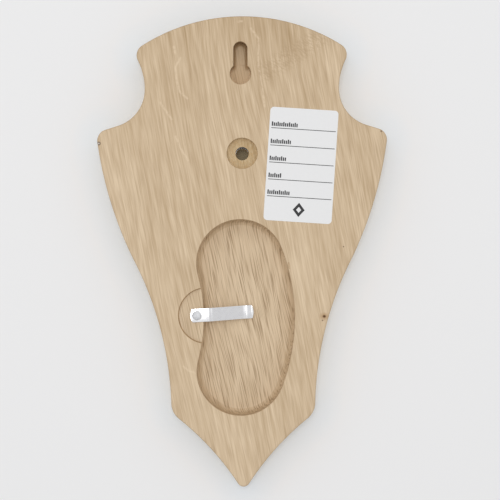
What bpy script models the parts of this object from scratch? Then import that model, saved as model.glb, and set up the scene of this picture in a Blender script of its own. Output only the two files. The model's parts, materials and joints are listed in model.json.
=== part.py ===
"""Antler mounting plaque: a routed oak shield that carries a roe buck's antlers on its front.

The back hangs on a wall screw in a keyhole, and holds the lower jaw in a bean-shaped recess
under a swivelling metal clip. A paper record label is stuck beside the skull screw's hole.

Axes: X across, Y through the board (the back face is y = 0 and looks along +Y), Z up.
The origin is on the back face's centre line, MOUNT_DROP below the crown. All sizes are metres.
"""

import math

import bmesh
import bpy
from mathutils import Vector

# Board outline, with HEIGHT and the widths up to the corners before they are rounded
HEIGHT = 0.2465
BOARD_THICKNESS = 0.0180
MOUNT_DROP = 0.0500
CROWN_RADIUS = 0.0966
NECK_WIDTH = 0.1006
NECK_DROP = 0.0375
NECK_TOP_RADIUS = 0.0332
NECK_LOW_RADIUS = 0.0198
FLARE_SLOPE = math.radians(17.5)
SHOULDER_WIDTH = 0.1512
SIDE_CONVEX_RADIUS = 0.2010
SIDE_HOLLOW_RADIUS = 0.1738
BASE_WIDTH = 0.0744
POINT_HEIGHT = 0.0412
POINT_HOLLOW_RADIUS = 0.1446

# Rounding of the four kinds of corner
CROWN_CORNER_RADIUS = 0.0060
SHOULDER_CORNER_RADIUS = 0.0059
BASE_CORNER_RADIUS = 0.0107
TIP_RADIUS = 0.0034
MITRE_RADIUS = 0.0003

# Edge moulding: a softened back edge, a plain side, then an ogee up to the front face
BACK_EDGE_ROUND = 0.0006
OGEE_ROUND_RADIUS = 0.0040
OGEE_HOLLOW_RADIUS = 0.0038
OGEE_STEP = 0.0010
FRONT_ARRIS = 0.0004

# Keyhole for the wall screw, a little off the centre line
KEYHOLE_DROP = 0.0298
KEYHOLE_OFFSET = 0.0007
KEYHOLE_TRAVEL = 0.0130
KEYHOLE_ENTRY_DIAMETER = 0.0110
KEYHOLE_NECK_WIDTH = 0.0073
KEYHOLE_LIP = 0.0036
KEYHOLE_HEAD_ROOM = 0.0049
KEYHOLE_HEAD_MARGIN = 0.0003

# Hole for the skull screw
SKULL_HOLE_DROP = 0.0710
SKULL_HOLE_DIAMETER = 0.0070
COUNTERBORE_DIAMETER = 0.0160
COUNTERBORE_DEPTH = 0.0030

# Bean-shaped recess for the lower jaw
RECESS_DROP = 0.1559
RECESS_OFFSET = 0.0012
RECESS_CENTRE_SPACING = 0.0559
RECESS_END_RADIUS = 0.0228
RECESS_BULGE = 0.00525
RECESS_WAIST = 0.0036
RECESS_DEPTH = 0.0095
RECESS_FLOOR_RADIUS = 0.0030

# Round pocket that sinks the clip's pivot
POCKET_DIAMETER = 0.0288
POCKET_DEPTH = 0.0016
POCKET_SHIFT = 0.0047

# Clip strip
CLIP_SETBACK = 0.00335
CLIP_RISE = 0.0011
CLIP_WIDTH = 0.0070
CLIP_THICKNESS = 0.0005
CLIP_TAIL = 0.0034
CLIP_FLAT = 0.0048
CLIP_TOP_BEND_RADIUS = 0.0094
CLIP_SLOPE = math.radians(23.3)
CLIP_LOW_BEND_RADIUS = 0.0054
CLIP_TIP_SLOPE = math.radians(14.0)
CLIP_TIP_LENGTH = 0.0030
CLIP_END_RADIUS = 0.0074
CLIP_NOSE = 0.00003
CLIP_TILT = math.radians(3.15)
CLIP_FLOOR_GAP = 0.00015
CLIP_TO_FLOOR = 0.0006

# Domed pin that the clip turns on
PIN_SHANK_DIAMETER = 0.0022
PIN_REACH = 0.0120
PIN_POINT = 0.0025
PIN_HEAD_DIAMETER = 0.0050
PIN_HEAD_HEIGHT = 0.0008
PIN_HEAD_EDGE = 0.00025
PIN_HEAD_GAP = 0.0001
PIN_RUNNING_GAP = 0.00006
PIN_WOOD_GAP = 0.0001

# Record label
LABEL_WIDTH = 0.0353
LABEL_HEIGHT = 0.0587
LABEL_THICKNESS = 0.00015
LABEL_CORNER_RADIUS = 0.0020
LABEL_SIDE = -0.0304
LABEL_DROP = 0.0774
LABEL_TILT = math.radians(-3.96)
LABEL_GLUE = 0.00005
LABEL_SUNK = 0.00005
LABEL_EDGE_GAP = 0.0002

# A cutter stands this far out of the face that it cuts
CUT_OVER = 0.0020

CROWN_Z = MOUNT_DROP
OGEE_DEPTH = OGEE_ROUND_RADIUS + OGEE_HOLLOW_RADIUS + OGEE_STEP
PLAIN_SIDE = BOARD_THICKNESS - OGEE_DEPTH
RECESS_Z = CROWN_Z - RECESS_DROP
WAIST_X = RECESS_OFFSET + RECESS_END_RADIUS - RECESS_WAIST
PIVOT = Vector((WAIST_X + CLIP_SETBACK, 0.0, RECESS_Z + CLIP_RISE))
CLIP_UNDERSIDE = -POCKET_DEPTH + CLIP_FLOOR_GAP
LABEL_Z = CROWN_Z - LABEL_DROP
LABEL_BACK = -LABEL_SUNK - LABEL_THICKNESS

OAK = ((0.62, 0.47, 0.31), 0.62, 0.0)
ALUMINIUM = ((0.86, 0.86, 0.87), 0.30, 1.0)
PLATED_STEEL = ((0.62, 0.62, 0.62), 0.35, 1.0)
PAPER = ((0.86, 0.86, 0.86), 0.55, 0.0)


def start_empty():
    """Removes whatever the scene holds, and makes the two collections."""
    for thing in list(bpy.data.objects):
        bpy.data.objects.remove(thing)
    made = []
    for name in ("antler_mounting_plaque", "cutters"):
        group = bpy.data.collections.new(name)
        bpy.context.scene.collection.children.link(group)
        made.append(group)
    return made


def finish_of(name, look):
    """A Principled material from (colour, roughness, metallic)."""
    colour, roughness, metallic = look
    material = bpy.data.materials.new(name)
    material.use_nodes = True
    shader = material.node_tree.nodes["Principled BSDF"]
    shader.inputs["Base Color"].default_value = (*colour, 1.0)
    shader.inputs["Roughness"].default_value = roughness
    shader.inputs["Metallic"].default_value = metallic
    material.diffuse_color = (*colour, 1.0)
    return material


def add_mesh(name, vertices, faces, group):
    """A new object from lists of vertices and faces."""
    mesh = bpy.data.meshes.new(name)
    mesh.from_pydata([tuple(v) for v in vertices], [], faces)
    made = bpy.data.objects.new(name, mesh)
    group.objects.link(made)
    return made


def as_cutter(thing):
    """Marks an object as a cutter, which isn't part of the plaque."""
    thing.hide_render = True
    thing.display_type = "WIRE"
    return thing


def shade(thing):
    """Shades an object smooth, but for edges sharper than 30 degrees."""
    thing.data.shade_smooth()
    thing.data.set_sharp_from_angle(angle=math.radians(30.0))


def cut(target, cutter):
    """Takes the cutter's shape out of the target."""
    boolean = target.modifiers.new("cut_" + cutter.name, "BOOLEAN")
    boolean.operation = "DIFFERENCE"
    boolean.solver = "EXACT"
    boolean.object = cutter


def circles_meet(centre_a, radius_a, centre_b, radius_b, side):
    """Where two circles cross: side +1 is left of the line from a to b, and -1 is right."""
    between = Vector(centre_b) - Vector(centre_a)
    gap = between.length
    along = (gap * gap + radius_a * radius_a - radius_b * radius_b) / (2.0 * gap)
    off = math.sqrt(max(radius_a * radius_a - along * along, 0.0))
    ahead = between / gap
    return Vector(centre_a) + ahead * along + Vector((-ahead.y, ahead.x)) * (off * side)


def nearest_on_circle(centre, radius, point):
    """The point of a circle that is nearest to the given one."""
    return Vector(centre) + (Vector(point) - Vector(centre)).normalized() * radius


def arc(centre, start, end, steps):
    """Points of the shorter arc about a centre, from start up to but without end."""
    first = Vector(start) - Vector(centre)
    last = Vector(end) - Vector(centre)
    angle = math.atan2(first.y, first.x)
    turn = math.atan2(last.y, last.x) - angle
    turn = (turn + math.pi) % (2.0 * math.pi) - math.pi
    points = []
    for step in range(steps):
        a = angle + turn * step / steps
        points.append(Vector(centre) + Vector((math.cos(a), math.sin(a))) * first.length)
    return points


def board_curves(inset):
    """The circles (centre, radius) and the flare line that bound the right half, drawn inset inwards."""
    neck_x = NECK_WIDTH / 2.0
    neck_z = CROWN_Z - NECK_DROP
    crown = (Vector((0.0, CROWN_Z - CROWN_RADIUS)), CROWN_RADIUS - inset)
    neck_top = (Vector((neck_x + NECK_TOP_RADIUS, neck_z)), NECK_TOP_RADIUS + inset)
    neck_low = (Vector((neck_x + NECK_LOW_RADIUS, neck_z)), NECK_LOW_RADIUS + inset)

    outward = Vector((-math.sin(FLARE_SLOPE), -math.cos(FLARE_SLOPE)))
    flare_from = neck_low[0] + outward * neck_low[1]
    flare_along = Vector((math.cos(FLARE_SLOPE), -math.sin(FLARE_SLOPE)))

    reach = (SHOULDER_WIDTH / 2.0 - neck_low[0].x - outward.x * NECK_LOW_RADIUS) / flare_along.x
    shoulder = neck_low[0] + outward * NECK_LOW_RADIUS + flare_along * reach
    base = Vector((BASE_WIDTH / 2.0, CROWN_Z - HEIGHT + POINT_HEIGHT))
    hollow_centre = base + Vector((SIDE_HOLLOW_RADIUS, 0.0))
    convex_centre = circles_meet(
        hollow_centre,
        SIDE_HOLLOW_RADIUS + SIDE_CONVEX_RADIUS,
        shoulder,
        SIDE_CONVEX_RADIUS,
        1,
    )
    tip = Vector((0.0, CROWN_Z - HEIGHT))
    half = (tip - base) / 2.0
    off = math.sqrt(POINT_HOLLOW_RADIUS**2 - half.length_squared)
    point_centre = base + half + Vector((-half.y, half.x)).normalized() * off
    return {
        "crown": crown,
        "neck_top": neck_top,
        "neck_low": neck_low,
        "flare": (flare_from, flare_along),
        "convex": (convex_centre, SIDE_CONVEX_RADIUS - inset),
        "hollow": (hollow_centre, SIDE_HOLLOW_RADIUS + inset),
        "point": (point_centre, POINT_HOLLOW_RADIUS + inset),
    }


def board_corners(inset):
    """The four corners of the right half, where its curves cross."""
    curve = board_curves(inset)
    flare_from, flare_along = curve["flare"]
    centre, radius = curve["convex"]
    back = flare_from - centre
    b = back.dot(flare_along)
    shoulder = flare_from + flare_along * (
        math.sqrt(b * b - back.length_squared + radius * radius) - b
    )
    point_centre, point_radius = curve["point"]
    tip_z = point_centre.y + math.sqrt(point_radius**2 - point_centre.x**2)
    return {
        "crown": circles_meet(*curve["crown"], *curve["neck_top"], 1),
        "shoulder": shoulder,
        "base": circles_meet(*curve["hollow"], *curve["point"], -1),
        "tip": Vector((0.0, tip_z)),
    }


def board_outline(inset):
    """Closed outline of the board in (x, z), clockwise from the crown, drawn inset inwards.

    A corner's rounding is a circle about the corner of the outline drawn further in by its radius.
    """
    curve = board_curves(inset)
    rounding = {
        "crown": CROWN_CORNER_RADIUS,
        "shoulder": SHOULDER_CORNER_RADIUS,
        "base": BASE_CORNER_RADIUS,
        "tip": TIP_RADIUS,
    }
    centre = {}
    for name, radius in rounding.items():
        left = max(radius - inset, MITRE_RADIUS)
        centre[name] = board_corners(inset + left)[name]
        rounding[name] = left

    def on(circle, corner):
        return nearest_on_circle(*curve[circle], centre[corner])

    top = Vector((0.0, curve["crown"][0].y + curve["crown"][1]))
    neck = curve["neck_top"][0] - Vector((curve["neck_top"][1], 0.0))
    flare_from, flare_along = curve["flare"]
    flare_to = flare_from + flare_along * (centre["shoulder"] - flare_from).dot(flare_along)
    bend = nearest_on_circle(*curve["convex"], curve["hollow"][0])
    bottom = centre["tip"] - Vector((0.0, rounding["tip"]))
    half = [
        *arc(curve["crown"][0], top, on("crown", "crown"), 14),
        *arc(centre["crown"], on("crown", "crown"), on("neck_top", "crown"), 6),
        *arc(curve["neck_top"][0], on("neck_top", "crown"), neck, 7),
        *arc(curve["neck_low"][0], neck, flare_from, 9),
        flare_from,
        *arc(centre["shoulder"], flare_to, on("convex", "shoulder"), 6),
        *arc(curve["convex"][0], on("convex", "shoulder"), bend, 10),
        *arc(curve["hollow"][0], bend, on("hollow", "base"), 12),
        *arc(centre["base"], on("hollow", "base"), on("point", "base"), 5),
        *arc(curve["point"][0], on("point", "base"), on("point", "tip"), 9),
        *arc(centre["tip"], on("point", "tip"), bottom, 3),
        bottom,
    ]
    return half + [Vector((-p.x, p.y)) for p in reversed(half[1:-1])]


def bean_outline(inset):
    """Closed outline of the recess in (x, z), drawn inset inwards: four arcs that touch smoothly."""
    spread = RECESS_CENTRE_SPACING / 2.0
    middle = Vector((RECESS_OFFSET, RECESS_Z))
    upper = middle + Vector((0.0, spread))
    lower = middle - Vector((0.0, spread))
    bulge_radius = RECESS_END_RADIUS + (spread**2 + RECESS_BULGE**2) / (2.0 * RECESS_BULGE)
    waist_radius = (spread**2 + RECESS_WAIST**2) / (2.0 * RECESS_WAIST) - RECESS_END_RADIUS
    bulge_centre = middle + Vector((bulge_radius - RECESS_END_RADIUS - RECESS_BULGE, 0.0))
    waist_centre = middle + Vector((RECESS_END_RADIUS - RECESS_WAIST + waist_radius, 0.0))
    end = RECESS_END_RADIUS - inset

    def away(centre):
        return centre + (centre - bulge_centre).normalized() * end

    def towards(centre):
        return nearest_on_circle(centre, end, waist_centre)

    above = upper + Vector((0.0, end))
    below = lower - Vector((0.0, end))
    return [
        *arc(upper, above, towards(upper), 12),
        *arc(waist_centre, towards(upper), towards(lower), 14),
        *arc(lower, towards(lower), below, 12),
        *arc(lower, below, away(lower), 12),
        *arc(bulge_centre, away(lower), away(upper), 18),
        *arc(upper, away(upper), above, 12),
    ]


def loft(name, outline, sections, group):
    """A solid through outline(inset) at each (inset, y) section, from the back of the board forwards."""
    vertices = []
    for inset, y in sections:
        vertices.extend((p.x, y, p.y) for p in outline(inset))
    count = len(vertices) // len(sections)
    faces = [tuple(range(count)), tuple(reversed(range(len(vertices) - count, len(vertices))))]
    for row in range(len(sections) - 1):
        for i in range(count):
            j = (i + 1) % count
            a = row * count
            b = a + count
            faces.append((a + j, a + i, b + i, b + j))
    made = add_mesh(name, vertices, faces, group)
    outwards = bmesh.new()
    outwards.from_mesh(made.data)
    bmesh.ops.recalc_face_normals(outwards, faces=outwards.faces)
    outwards.to_mesh(made.data)
    outwards.free()
    return made


def moulding_sections():
    """(inset, y) of the board's edge, from the back face round the side and up the ogee."""
    sections = []
    for step in range(4):
        a = math.radians(30.0 * step)
        sections.append((BACK_EDGE_ROUND * (1.0 - math.sin(a)), -BACK_EDGE_ROUND * (1.0 - math.cos(a))))
    for step in range(6):
        a = math.radians(18.0 * step)
        sections.append(
            (
                OGEE_ROUND_RADIUS * (1.0 - math.cos(a)),
                -PLAIN_SIDE - OGEE_ROUND_RADIUS * math.sin(a),
            )
        )
    hollow_y = -PLAIN_SIDE - OGEE_ROUND_RADIUS - OGEE_HOLLOW_RADIUS
    for step in range(1, 6):
        a = math.radians(18.0 * step)
        sections.append(
            (
                OGEE_ROUND_RADIUS + OGEE_HOLLOW_RADIUS * math.sin(a),
                hollow_y + OGEE_HOLLOW_RADIUS * math.cos(a),
            )
        )
    rim = OGEE_ROUND_RADIUS + OGEE_HOLLOW_RADIUS
    sections.append((rim, -BOARD_THICKNESS + FRONT_ARRIS))
    sections.append((rim + FRONT_ARRIS, -BOARD_THICKNESS))
    return sections


def recess_sections():
    """(inset, y) of the recess cutter: straight walls, then the cutter bit's round down to the floor."""
    sections = [(0.0, CUT_OVER)]
    for step in range(6):
        a = math.radians(18.0 * step)
        sections.append(
            (
                RECESS_FLOOR_RADIUS * (1.0 - math.cos(a)),
                -RECESS_DEPTH + RECESS_FLOOR_RADIUS * (1.0 - math.sin(a)),
            )
        )
    return sections


def drill(name, x, z, diameter, top, bottom, sides, group):
    """A round cutter along Y, from y = top down to y = bottom."""
    shape = bmesh.new()
    bmesh.ops.create_cone(
        shape,
        cap_ends=True,
        segments=sides,
        radius1=diameter / 2.0,
        radius2=diameter / 2.0,
        depth=top - bottom,
    )
    mesh = bpy.data.meshes.new(name)
    shape.to_mesh(mesh)
    shape.free()
    made = bpy.data.objects.new(name, mesh)
    made.location = (x, (top + bottom) / 2.0, z)
    made.rotation_euler = (math.radians(90.0), 0.0, 0.0)
    group.objects.link(made)
    return as_cutter(made)


def slot(name, x, width, low_z, high_z, top, bottom, group):
    """An upright round-ended slot cutter at x, between the two end centres' heights."""

    def outline(_):
        radius = width / 2.0
        low = Vector((x, low_z))
        high = Vector((x, high_z))
        side = Vector((radius, 0.0))
        up = Vector((0.0, radius))
        return [
            *arc(high, high - side, high + up, 10),
            *arc(high, high + up, high + side, 10),
            high + side,
            *arc(low, low + side, low - up, 10),
            *arc(low, low - up, low - side, 10),
            low - side,
        ]

    return as_cutter(loft(name, outline, [(0.0, top), (0.0, bottom)], group))


def keyhole_cutters(group):
    """The round entry, the narrow neck slot and the wider run for the screw's head behind the lip."""
    x = KEYHOLE_OFFSET
    entry_z = CROWN_Z - KEYHOLE_DROP
    hang_z = entry_z + KEYHOLE_TRAVEL
    floor = -KEYHOLE_LIP - KEYHOLE_HEAD_ROOM
    head_width = KEYHOLE_ENTRY_DIAMETER - 2.0 * KEYHOLE_HEAD_MARGIN
    middle = -KEYHOLE_LIP - KEYHOLE_HEAD_ROOM / 2.0
    return [
        slot("keyhole_head_run", x, head_width, entry_z, hang_z, -KEYHOLE_LIP, floor, group),
        slot("keyhole_neck", x, KEYHOLE_NECK_WIDTH, entry_z, hang_z, CUT_OVER, middle, group),
        drill(
            "keyhole_entry",
            x,
            entry_z,
            KEYHOLE_ENTRY_DIAMETER,
            CUT_OVER,
            floor - KEYHOLE_HEAD_MARGIN,
            40,
            group,
        ),
    ]


def skull_hole_cutters(group):
    """The hole right through, and the round seat for its screw's washer in the back face."""
    z = CROWN_Z - SKULL_HOLE_DROP
    through = -BOARD_THICKNESS - CUT_OVER
    return [
        drill("washer_seat", 0.0, z, COUNTERBORE_DIAMETER, CUT_OVER, -COUNTERBORE_DEPTH, 48, group),
        drill("skull_hole", 0.0, z, SKULL_HOLE_DIAMETER, CUT_OVER, through, 32, group),
    ]


def clip_seat_cutters(group):
    """The round pocket under the clip's pivot, and the pin's hole in its floor."""
    shank = PIN_SHANK_DIAMETER + 2.0 * PIN_WOOD_GAP
    bottom = -POCKET_DEPTH - PIN_REACH - PIN_WOOD_GAP
    return [
        drill(
            "clip_pocket",
            PIVOT.x - POCKET_SHIFT,
            PIVOT.z,
            POCKET_DIAMETER,
            CUT_OVER,
            -POCKET_DEPTH,
            72,
            group,
        ),
        drill("clip_pin_hole", PIVOT.x, PIVOT.z, shank, 0.0, bottom, 24, group),
    ]


def label_bed_cutter(group):
    """The shallow bed that the label lies in, so that the back face still lies flat on a wall."""
    sections = [(-LABEL_EDGE_GAP, CUT_OVER), (-LABEL_EDGE_GAP, LABEL_BACK - LABEL_GLUE)]
    bed = loft("label_bed", label_outline, sections, group)
    bed.location = (LABEL_SIDE, 0.0, LABEL_Z)
    bed.rotation_euler = (0.0, LABEL_TILT, 0.0)
    return as_cutter(bed)


def make_plaque(group, cutters):
    """The oak board: its moulded outline, less the recess, the pocket and the holes."""
    board = loft("plaque", board_outline, moulding_sections(), group)
    shade(board)
    recess = as_cutter(loft("jaw_recess", bean_outline, recess_sections(), cutters))
    for cutter in (
        recess,
        label_bed_cutter(cutters),
        *clip_seat_cutters(cutters),
        *keyhole_cutters(cutters),
        *skull_hole_cutters(cutters),
    ):
        cut(board, cutter)
    board.data.materials.append(finish_of("oak", OAK))


def end_step(step):
    """How far in from an end of the strip the step-th of its first five rows lies."""
    sagitta = CLIP_END_RADIUS - math.sqrt(CLIP_END_RADIUS**2 - (CLIP_WIDTH / 2.0) ** 2)
    return CLIP_NOSE + (sagitta - CLIP_NOSE) * (step / 4.0) ** 2


def clip_line():
    """(distance, height) along the middle of the strip's thickness, from its tail to its tip.

    Distance runs from the pivot into the recess, and height is y. The strip lies flat under the
    pin's head, bends down until it nearly meets the recess floor, and turns up again at its tip.
    """
    flat_y = CLIP_UNDERSIDE + CLIP_THICKNESS / 2.0
    low_y = -RECESS_DEPTH + CLIP_TO_FLOOR + CLIP_THICKNESS / 2.0
    bends = CLIP_TOP_BEND_RADIUS + CLIP_LOW_BEND_RADIUS
    fall = flat_y - low_y - bends * (1.0 - math.cos(CLIP_SLOPE))
    points = []
    for step in range(5):
        points.append((-CLIP_TAIL + end_step(step), flat_y))
    for step in range(1, 4):
        points.append((end_step(4) - CLIP_TAIL + (CLIP_FLAT + CLIP_TAIL - end_step(4)) * step / 4.0, flat_y))
    for step in range(7):
        a = CLIP_SLOPE * step / 6.0
        points.append(
            (
                CLIP_FLAT + CLIP_TOP_BEND_RADIUS * math.sin(a),
                flat_y - CLIP_TOP_BEND_RADIUS * (1.0 - math.cos(a)),
            )
        )
    start = points[-1]
    run = fall / math.tan(CLIP_SLOPE)
    for step in range(1, 4):
        points.append((start[0] + run * step / 4.0, start[1] - fall * step / 4.0))
    centre = (start[0] + run + CLIP_LOW_BEND_RADIUS * math.sin(CLIP_SLOPE), low_y + CLIP_LOW_BEND_RADIUS)
    for step in range(7):
        a = -CLIP_SLOPE + (CLIP_SLOPE + CLIP_TIP_SLOPE) * step / 6.0
        points.append(
            (
                centre[0] + CLIP_LOW_BEND_RADIUS * math.sin(a),
                centre[1] - CLIP_LOW_BEND_RADIUS * math.cos(a),
            )
        )
    start = points[-1]
    for step in reversed(range(5)):
        length = CLIP_TIP_LENGTH - end_step(step)
        points.append(
            (
                start[0] + length * math.cos(CLIP_TIP_SLOPE),
                start[1] + length * math.sin(CLIP_TIP_SLOPE),
            )
        )
    return points


def make_clip(group, cutters):
    """The clip: a strip of sheet bent along clip_line, with bowed ends and a pivot hole."""
    line = clip_line()
    first = line[0][0]
    last = line[-1][0]
    vertices = []
    for distance, height in line:
        from_end = CLIP_NOSE + min(distance - first, last - distance, CLIP_END_RADIUS / 2.0)
        bow = math.sqrt(from_end * (2.0 * CLIP_END_RADIUS - from_end))
        half = min(bow, CLIP_WIDTH / 2.0)
        vertices.append((-distance, height, half))
        vertices.append((-distance, height, -half))
    faces = []
    for i in range(len(line) - 1):
        faces.append((2 * i, 2 * i + 1, 2 * i + 3, 2 * i + 2))
    clip = add_mesh("jaw_clip", vertices, faces, group)
    shade(clip)
    clip.location = PIVOT
    clip.rotation_euler = (0.0, CLIP_TILT, 0.0)
    thickness = clip.modifiers.new("sheet", "SOLIDIFY")
    thickness.thickness = CLIP_THICKNESS
    thickness.offset = 0.0
    thickness.use_even_offset = True
    hole = PIN_SHANK_DIAMETER + 2.0 * PIN_RUNNING_GAP
    top = CLIP_UNDERSIDE + CLIP_THICKNESS + CUT_OVER
    cutter = drill("clip_pivot_hole", PIVOT.x, PIVOT.z, hole, top, CLIP_UNDERSIDE - CUT_OVER, 32, cutters)
    cut(clip, cutter)
    clip.data.materials.append(finish_of("clip_aluminium", ALUMINIUM))


def pin_profile(seat):
    """(radius, height) down the pin's outside, with its head's underside at height seat."""
    head = PIN_HEAD_DIAMETER / 2.0
    shank = PIN_SHANK_DIAMETER / 2.0
    rim = seat + PIN_HEAD_EDGE
    profile = []
    for step in range(6):
        a = math.radians(15.0 * step)
        profile.append((head * math.sin(a), rim + (PIN_HEAD_HEIGHT - PIN_HEAD_EDGE) * math.cos(a)))
    bottom = -POCKET_DEPTH - PIN_REACH
    profile.extend(
        [
            (head, rim),
            (head, seat),
            (shank, seat),
            (shank, bottom + PIN_POINT),
            (0.0, bottom),
        ]
    )
    return profile


def make_clip_pin(group):
    """The domed pin that the clip turns on, turned about its own axis and set along Y."""
    seat = CLIP_UNDERSIDE + CLIP_THICKNESS + PIN_HEAD_GAP
    profile = pin_profile(seat)
    edges = [(i, i + 1) for i in range(len(profile) - 1)]
    mesh = bpy.data.meshes.new("clip_pin")
    mesh.from_pydata([(radius, 0.0, height) for radius, height in profile], edges, [])
    pin = bpy.data.objects.new("clip_pin", mesh)
    group.objects.link(pin)
    pin.location = PIVOT
    pin.rotation_euler = (math.radians(-90.0), 0.0, 0.0)
    turn = pin.modifiers.new("turned", "SCREW")
    turn.angle = math.radians(360.0)
    turn.steps = 32
    turn.render_steps = 32
    turn.use_merge_vertices = True
    turn.merge_threshold = 0.00001
    turn.use_smooth_shade = True
    pin.data.materials.append(finish_of("pin_steel", PLATED_STEEL))


def label_outline(inset):
    """Closed outline of the label about its own centre, drawn inset inwards, with round corners."""
    radius = LABEL_CORNER_RADIUS - inset
    half_width = LABEL_WIDTH / 2.0 - LABEL_CORNER_RADIUS
    half_height = LABEL_HEIGHT / 2.0 - LABEL_CORNER_RADIUS
    points = []
    for quarter, (sx, sy) in enumerate(((1, 1), (-1, 1), (-1, -1), (1, -1))):
        for step in range(7):
            a = math.radians(90.0 * quarter + 15.0 * step)
            x = sx * half_width + radius * math.cos(a)
            points.append(Vector((x, sy * half_height + radius * math.sin(a))))
    return points


def make_label(group):
    """The paper label, a flat outline with round corners, lying level with the back face."""
    points = label_outline(0.0)
    curve = bpy.data.curves.new("record_label", "CURVE")
    curve.dimensions = "2D"
    curve.fill_mode = "BOTH"
    curve.extrude = LABEL_THICKNESS / 2.0
    line = curve.splines.new("POLY")
    line.points.add(len(points) - 1)
    for point, place in zip(line.points, points):
        point.co = (place.x, place.y, 0.0, 1.0)
    line.use_cyclic_u = True
    label = bpy.data.objects.new("record_label", curve)
    label.location = (LABEL_SIDE, LABEL_BACK + LABEL_THICKNESS / 2.0, LABEL_Z)
    label.rotation_euler = (math.radians(90.0), LABEL_TILT, 0.0)
    group.objects.link(label)
    label.data.materials.append(finish_of("label_paper", PAPER))


def main():
    group, cutters = start_empty()
    make_plaque(group, cutters)
    make_clip(group, cutters)
    make_clip_pin(group)
    make_label(group)


main()
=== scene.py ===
# %% [markdown]
# # An oak plaque for a roe buck's antlers, seen from its back
# The real thing is a shield of pale, bare oak about as large as a hand span each way. Its back has
# a keyhole for the wall screw, a stepped hole for the skull's screw, a bean-shaped recess for the
# lower jaw with a bright clip over it, and a white paper label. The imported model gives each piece's
# place and size. This script builds the fine surfaces around it, one piece to a step.

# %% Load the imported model
import json
import math

import bmesh
import bpy
import numpy as np
from mathutils import Matrix, Vector
from mathutils.geometry import delaunay_2d_cdt


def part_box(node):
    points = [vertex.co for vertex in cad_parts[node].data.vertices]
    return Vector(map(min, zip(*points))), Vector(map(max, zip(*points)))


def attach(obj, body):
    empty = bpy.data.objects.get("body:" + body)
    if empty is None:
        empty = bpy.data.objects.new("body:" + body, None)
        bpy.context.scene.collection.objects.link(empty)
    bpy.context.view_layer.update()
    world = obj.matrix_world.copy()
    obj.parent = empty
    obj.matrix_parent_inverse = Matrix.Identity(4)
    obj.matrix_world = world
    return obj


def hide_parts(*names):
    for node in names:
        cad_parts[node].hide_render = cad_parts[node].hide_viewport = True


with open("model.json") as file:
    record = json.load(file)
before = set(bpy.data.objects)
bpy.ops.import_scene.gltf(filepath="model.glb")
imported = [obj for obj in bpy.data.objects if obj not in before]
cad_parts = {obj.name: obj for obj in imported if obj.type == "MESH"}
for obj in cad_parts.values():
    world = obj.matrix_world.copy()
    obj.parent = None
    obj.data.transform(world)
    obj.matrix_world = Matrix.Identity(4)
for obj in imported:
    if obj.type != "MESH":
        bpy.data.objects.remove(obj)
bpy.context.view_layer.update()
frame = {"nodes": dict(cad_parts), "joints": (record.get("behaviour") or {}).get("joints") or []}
PIVOT = np.array(frame["joints"][0]["pos_m"])
board_low, board_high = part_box("plaque")
CROWN_Z = board_high.z
FRONT_Y = board_low.y
print("nodes:", sorted(frame["nodes"]), "crown at", round(CROWN_Z * 1000, 1), "mm")

# %% [markdown]
# ## The numbers behind the shape
# A shield like this is drawn with a compass: circles for the crown, the neck, the shoulders' flanks
# and the point, and one short straight flare. So the outline is kept as a few radii in
# millimetres, and each point is worked out from them. Everything here is in millimetres until it
# goes into a mesh.

# %% Outline sizes, in millimetres
HEIGHT = 246.5
CROWN_RADIUS = 96.6
NECK_HALF = 50.3
NECK_DROP = 37.5
NECK_TOP_RADIUS = 33.2
NECK_LOW_RADIUS = 19.8
FLARE_SLOPE = math.radians(17.5)
SHOULDER_HALF = 75.57
FLANK_CONVEX_RADIUS = 201.0
FLANK_HOLLOW_RADIUS = 173.8
BASE_HALF = 37.2
POINT_HEIGHT = 41.2
POINT_HOLLOW_RADIUS = 144.6
CORNER_RADII = {"crown": 6.0, "shoulder": 5.9, "base": 10.7, "tip": 3.4}
MITRE_RADIUS = 0.3
CROWN = CROWN_Z * 1000.0
THICKNESS = -FRONT_Y * 1000.0
print("board", 2 * SHOULDER_HALF, "x", HEIGHT, "x", round(THICKNESS, 2), "mm before rounding")

# %% [markdown]
# ## Compass work
# Three small helpers do all the drawing: where two circles cross, the point of a circle nearest to
# another point, and the points of an arc. They take and give arrays, so an arc is one line of
# trigonometry and needs no loop.

# %% Circles and arcs


def circles_meet(centre_a, radius_a, centre_b, radius_b, side):
    """Where two circles cross: walk a from centre to centre, then h sideways.

    a * a + h * h is the square of radius_a.
    """
    between = centre_b - centre_a
    gap = np.hypot(*between)
    along = (gap**2 + radius_a**2 - radius_b**2) / (2.0 * gap)
    off = math.sqrt(max(radius_a**2 - along**2, 0.0))
    ahead = between / gap
    return centre_a + ahead * along + np.array([-ahead[1], ahead[0]]) * off * side


def nearest(centre, radius, point):
    """The point of a circle nearest to another: from the centre, one radius towards it."""
    towards = point - centre
    return centre + towards / np.hypot(*towards) * radius


def arc(centre, start, end, steps):
    """Points centre + r * (cos t, sin t), with t even between the two ends' angles, the end left out."""
    first = start - centre
    last = end - centre
    begin = math.atan2(first[1], first[0])
    turn = math.atan2(last[1], last[0]) - begin
    turn = (turn + math.pi) % (2.0 * math.pi) - math.pi
    t = begin + turn * np.arange(steps) / steps
    return centre + np.column_stack([np.cos(t), np.sin(t)]) * np.hypot(*first)


quarter_turn = arc(np.zeros(2), np.array([1.0, 0.0]), np.array([0.0, 1.0]), 3)
print("a quarter turn in 3 steps:", quarter_turn.round(2).tolist())

# %% [markdown]
# ## The shield at any inset
# The edge moulding needs the same outline again and again, each time a little further in. Shrinking
# or growing each circle by the inset keeps every curve parallel, as a router bit does. A rounded
# corner is a circle whose centre is the sharp corner of the outline drawn further in by its radius,
# and past that inset the corner becomes a mitre.

# %% The outline as circles


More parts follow.
